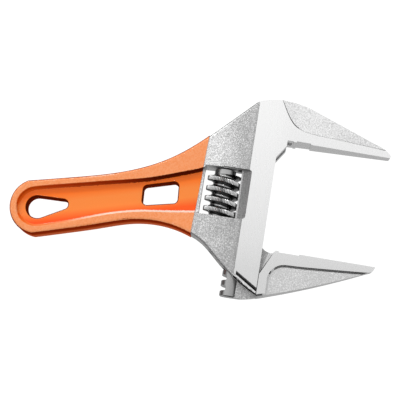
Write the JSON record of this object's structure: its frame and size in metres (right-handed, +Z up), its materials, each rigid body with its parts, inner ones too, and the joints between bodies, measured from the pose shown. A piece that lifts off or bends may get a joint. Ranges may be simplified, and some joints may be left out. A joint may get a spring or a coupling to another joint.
{
  "type": "adjustable wrench",
  "caption": "Stubby adjustable wrench with wide-opening thin jaws, a worm-driven sliding jaw and a dipped handle with a hanging hole.",
  "frame": {"origin": "bottom centre of the bounding box with the jaw fully open, on the plane the wrench lies on", "axes": "+X along the handle towards the jaws, +Y towards the fixed jaw, +Z up through the wrench's thickness"},
  "size_m": [0.1912, 0.0972, 0.017],
  "materials": {
    "blasted_steel": "satin chrome, blasted panels and polished strip",
    "orange_coating": "thick glossy orange dip",
    "polished_steel": "satin chrome, polished borders and blasted panels",
    "worm_steel": "machined and knurled",
    "pin_steel": "turned",
    "spring_steel": "drawn wire"
  },
  "bodies": {
    "frame": {"body": "blasted_steel", "handle_coating": "orange_coating", "worm_pin": "pin_steel", "worm_spring": "spring_steel"},
    "jaw": {"sliding_jaw": "polished_steel"},
    "worm": {"worm": "worm_steel"}
  },
  "joints": [
    {"name": "jaw_slide", "type": "slide", "parent": "frame", "child": "jaw", "axis": [0.2588, 0.9659, 0], "range_m": [0, 0.055]},
    {"name": "worm_turn", "type": "hinge", "parent": "frame", "child": "worm", "pos_m": [0.00976, 0.00394, 0.0085], "axis": [0.2588, 0.9659, 0], "range_deg": [0, 3850]}
  ],
  "couplings": [
    {"joint": "worm_turn", "follows": "jaw_slide", "rad_per_m": 1220}
  ]
}
